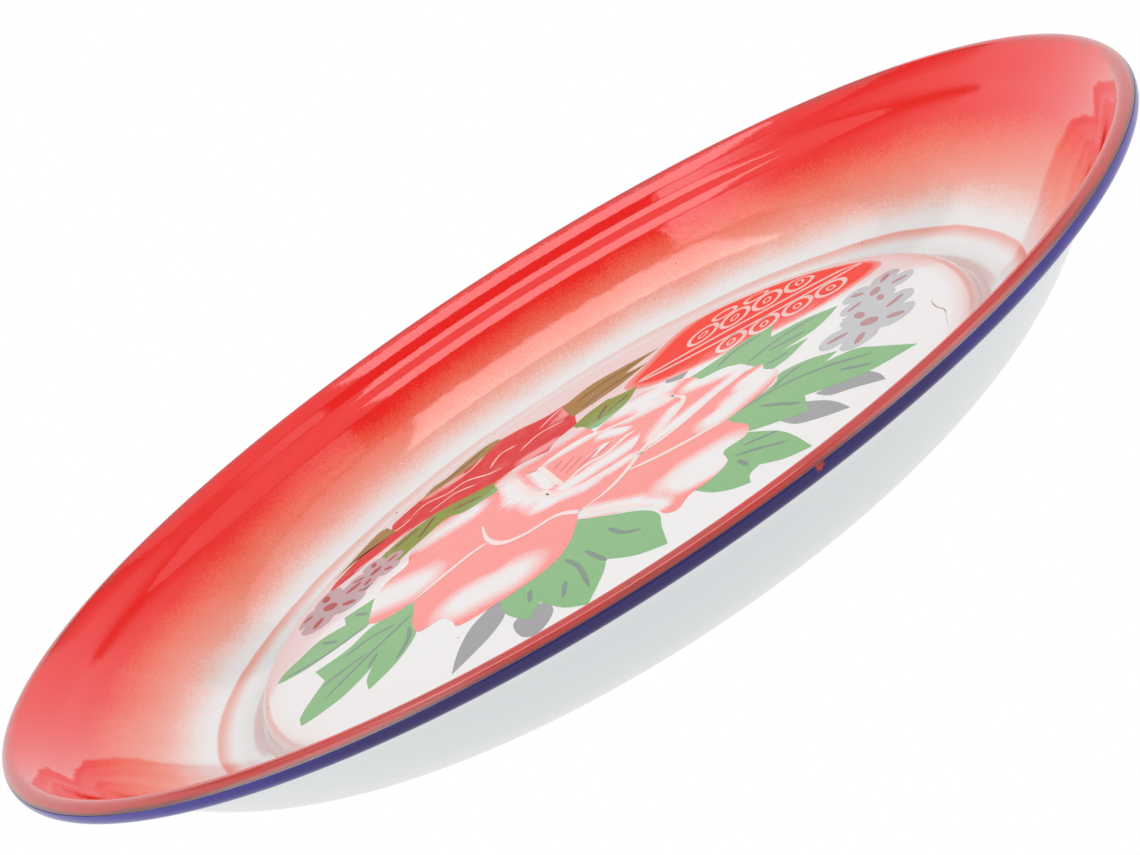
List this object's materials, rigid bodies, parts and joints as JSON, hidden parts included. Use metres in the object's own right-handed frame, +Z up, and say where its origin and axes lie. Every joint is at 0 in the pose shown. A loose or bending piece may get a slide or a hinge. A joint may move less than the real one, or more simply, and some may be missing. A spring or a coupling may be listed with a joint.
{
  "type": "enamel dish",
  "caption": "Round shallow enamelled steel dish with a curled rim, a curved sloping wall, a foot ring and a raised flat floor.",
  "frame": {"origin": "centre of the dish, on the plane that its foot ring stands on", "axes": "+Z up along the axis of rotation, out of the dish's mouth; +X and +Y level, with the printed flower's widest leaves along X"},
  "size_m": [0.3, 0.3, 0.0343],
  "materials": {
    "steel": "satin",
    "white_enamel": "gloss",
    "red_enamel": "gloss",
    "blue_enamel": "gloss",
    "outside_enamel": "gloss",
    "print_pink": "gloss",
    "print_green": "gloss",
    "print_grey": "gloss"
  },
  "bodies": {
    "root": {"steel_core": "steel", "inner_enamel": "white_enamel", "red_enamel": "red_enamel", "blue_edge_enamel": "blue_enamel", "outer_enamel": "outside_enamel"}
  },
  "joints": []
}
